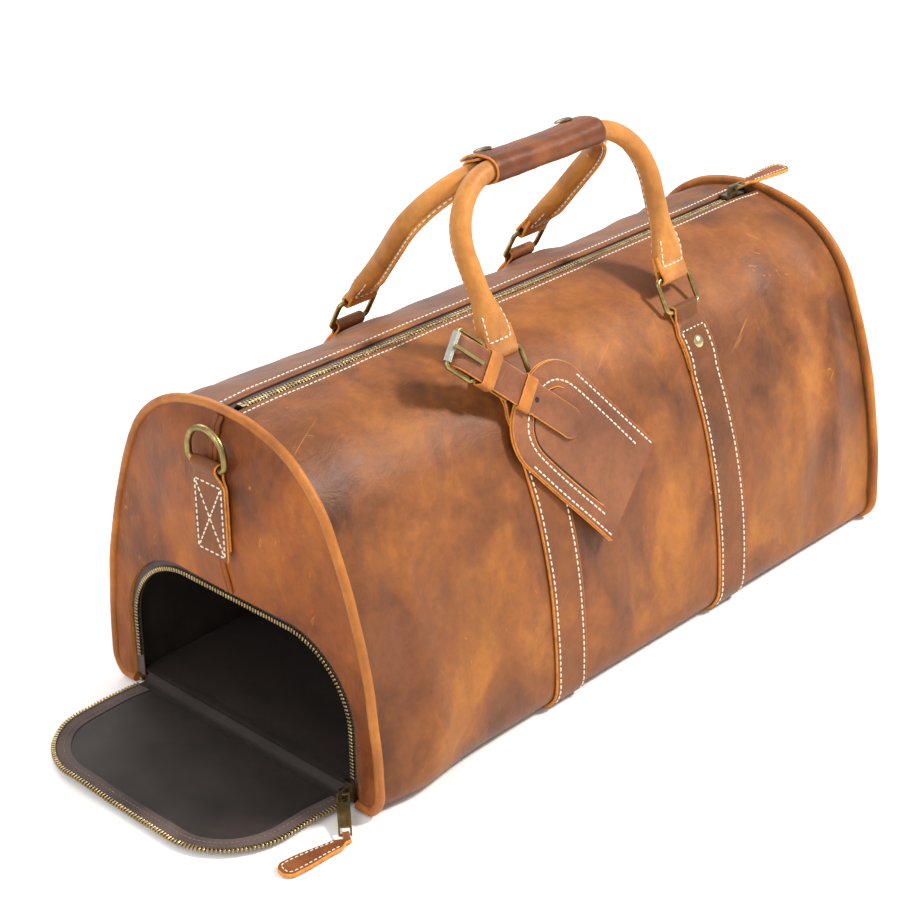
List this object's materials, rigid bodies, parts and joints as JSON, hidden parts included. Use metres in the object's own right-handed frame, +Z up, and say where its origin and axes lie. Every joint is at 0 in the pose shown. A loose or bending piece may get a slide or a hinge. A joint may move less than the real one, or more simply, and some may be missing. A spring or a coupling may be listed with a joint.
{
  "type": "duffel bag",
  "caption": "Leather duffel bag with a top zip, rope handles on rings, wrapped grip, luggage tag, end D-rings and a zipped shoe compartment open at one end.",
  "frame": {"origin": "middle of the bag's underside, on the surface it stands on", "axes": "+X along the bag towards its plain end (the open shoe compartment faces -X), -Y towards the front with the luggage tag, +Z up"},
  "size_m": [0.6833, 0.268, 0.363],
  "materials": {
    "bag_leather": "waxed pull-up leather, tan brown, clouded and scuffed",
    "trim_leather": "waxed pull-up leather with light raw edges and white stitching",
    "handle_leather": "rolled waxed leather with a stitched seam",
    "tag_leather": "flat waxed leather with white stitching",
    "pull_leather": "two stitched layers of waxed leather",
    "lining_fabric": "dark brown woven lining",
    "zip_tape": "dark brown herringbone tape",
    "zip_brass": "aged brass teeth",
    "antique_brass": "antique brass, brushed and darkened in the recesses",
    "buckle_metal": "worn nickel plate",
    "rope_core": "twisted cotton rope",
    "base_board": "stiff fibre board"
  },
  "bodies": {
    "bag": {"front_panel": "bag_leather", "rear_panel": "bag_leather", "shoe_end_panel": "bag_leather", "plain_end_panel": "bag_leather", "piping_shoe_end": "trim_leather", "piping_plain_end": "trim_leather", "main_lining": "lining_fabric", "base_board": "base_board", "shoe_compartment_lining": "lining_fabric", "main_tape_front": "zip_tape", "main_tape_rear": "zip_tape", "main_teeth_front": "zip_brass", "main_teeth_rear": "zip_brass", "main_zip_stops": "zip_brass", "body_strap_shoe_end": "trim_leather", "body_strap_plain_end": "trim_leather", "strap_rivets": "antique_brass", "d_ring_tab_shoe_end": "trim_leather", "d_ring_tab_plain_end": "trim_leather", "shoe_tape_fixed": "zip_tape", "shoe_teeth_fixed": "zip_brass", "shoe_zip_stops": "zip_brass"},
    "main_slider": {"main_slider": "antique_brass"},
    "main_pull": {"main_pull_link": "antique_brass"},
    "main_leather_pull": {"main_leather_pull": "pull_leather"},
    "front_rings": {"ring_front_shoe_end": "antique_brass", "ring_front_plain_end": "antique_brass"},
    "rear_rings": {"ring_rear_shoe_end": "antique_brass", "ring_rear_plain_end": "antique_brass"},
    "front_handle": {"handle_front": "handle_leather", "handle_front_core": "rope_core"},
    "rear_handle": {"handle_rear": "handle_leather", "handle_rear_core": "rope_core", "grip_wrap": "trim_leather", "grip_snap_studs": "antique_brass"},
    "grip_flap": {"grip_flap": "trim_leather", "grip_snap_caps": "antique_brass"},
    "d_ring_shoe": {"d_ring_shoe_end": "antique_brass"},
    "d_ring_plain": {"d_ring_plain_end": "antique_brass"},
    "shoe_flap": {"shoe_flap_teeth": "zip_brass", "shoe_flap_leather": "bag_leather", "shoe_flap_lining": "lining_fabric", "shoe_flap_tape": "zip_tape"},
    "shoe_slider": {"shoe_slider": "antique_brass"},
    "shoe_pull": {"shoe_pull_link": "antique_brass"},
    "shoe_leather_pull": {"shoe_leather_pull": "pull_leather"},
    "luggage_tag": {"tag_back": "tag_leather", "tag_front": "tag_leather", "tag_strap": "tag_leather", "tag_buckle_frame": "buckle_metal", "tag_keeper_fixed": "tag_leather"},
    "tag_prong": {"tag_buckle_prong": "buckle_metal"},
    "tag_roller": {"tag_buckle_roller": "buckle_metal"},
    "tag_keeper": {"tag_keeper_sliding": "tag_leather"}
  },
  "joints": [
    {"name": "main_slider_travel", "type": "slide", "parent": "bag", "child": "main_slider", "axis": [1, 0, 0], "range_m": [-0.48, 0], "deforming": ["main_teeth_front", "main_teeth_rear"]},
    {"name": "main_pull_flip", "type": "hinge", "parent": "main_slider", "child": "main_pull", "pos_m": [0.24285, 0, 0.2502], "axis": [0, -1, 0], "range_deg": [0, 160]},
    {"name": "main_leather_pull_swing", "type": "hinge", "parent": "main_pull", "child": "main_leather_pull", "pos_m": [0.2594, 0, 0.2502], "axis": [0, -1, 0], "range_deg": [0, 25]},
    {"name": "front_ring_tilt", "type": "hinge", "parent": "bag", "child": "front_rings", "pos_m": [0, -0.0782, 0.2236], "axis": [1, 0, 0], "range_deg": [0, 14]},
    {"name": "rear_ring_tilt", "type": "hinge", "parent": "bag", "child": "rear_rings", "pos_m": [0, 0.0782, 0.2236], "axis": [-1, 0, 0], "range_deg": [0, 60]},
    {"name": "front_handle_fall", "type": "hinge", "parent": "front_rings", "child": "front_handle", "pos_m": [0, -0.06693, 0.24479], "axis": [1, 0, 0], "range_deg": [0, 111], "deforming": ["grip_wrap", "grip_flap", "tag_strap", "tag_keeper_fixed", "tag_keeper_sliding"]},
    {"name": "rear_handle_fall", "type": "hinge", "parent": "rear_rings", "child": "rear_handle", "pos_m": [0, 0.06693, 0.24479], "axis": [-1, 0, 0], "range_deg": [0, 130]},
    {"name": "grip_flap_open", "type": "hinge", "parent": "rear_handle", "child": "grip_flap", "pos_m": [0, -0.02554, 0.36096], "axis": [1, 0, 0], "range_deg": [0, 110]},
    {"name": "d_ring_shoe_swing", "type": "hinge", "parent": "bag", "child": "d_ring_shoe", "pos_m": [-0.2836, 0, 0.213], "axis": [0, -1, 0], "range_deg": [0, 160]},
    {"name": "d_ring_plain_swing", "type": "hinge", "parent": "bag", "child": "d_ring_plain", "pos_m": [0.2836, 0, 0.213], "axis": [0, 1, 0], "range_deg": [0, 160]},
    {"name": "shoe_flap_close", "type": "hinge", "parent": "bag", "child": "shoe_flap", "pos_m": [-0.2685, 0, 0.0015], "axis": [0, 1, 0], "range_deg": [0, 90], "deforming": ["shoe_flap_teeth"]},
    {"name": "shoe_slider_travel", "type": "slide", "parent": "bag", "child": "shoe_slider", "axis": [0, 0, 1], "range_m": [0, 0.033], "deforming": ["shoe_teeth_fixed"]},
    {"name": "shoe_pull_swing", "type": "hinge", "parent": "shoe_slider", "child": "shoe_pull", "pos_m": [-0.27625, -0.1041, 0.0119], "axis": [0.7551, -0.6556, 0], "range_deg": [-60, 0]},
    {"name": "shoe_leather_pull_swing", "type": "hinge", "parent": "shoe_pull", "child": "shoe_leather_pull", "pos_m": [-0.297, -0.128, 0.0036], "axis": [0.13, 0.9915, 0], "range_deg": [0, 40]},
    {"name": "tag_swing", "type": "hinge", "parent": "bag", "child": "luggage_tag", "pos_m": [-0.105, -0.08309, 0.23456], "axis": [0, -0.9397, 0.342], "range_deg": [-50, 6]},
    {"name": "tag_prong_lift", "type": "hinge", "parent": "luggage_tag", "child": "tag_prong", "pos_m": [-0.1237, -0.07982, 0.2526], "axis": [0.6947, 0.246, 0.676], "range_deg": [0, 70]},
    {"name": "tag_roller_spin", "type": "hinge", "parent": "luggage_tag", "child": "tag_roller", "pos_m": [-0.14097, -0.07412, 0.26826], "axis": [0.6947, 0.246, 0.676], "continuous": true},
    {"name": "tag_keeper_slide", "type": "slide", "parent": "luggage_tag", "child": "tag_keeper", "axis": [0.7193, -0.2376, -0.6528], "range_m": [0, 0.012]}
  ]
}
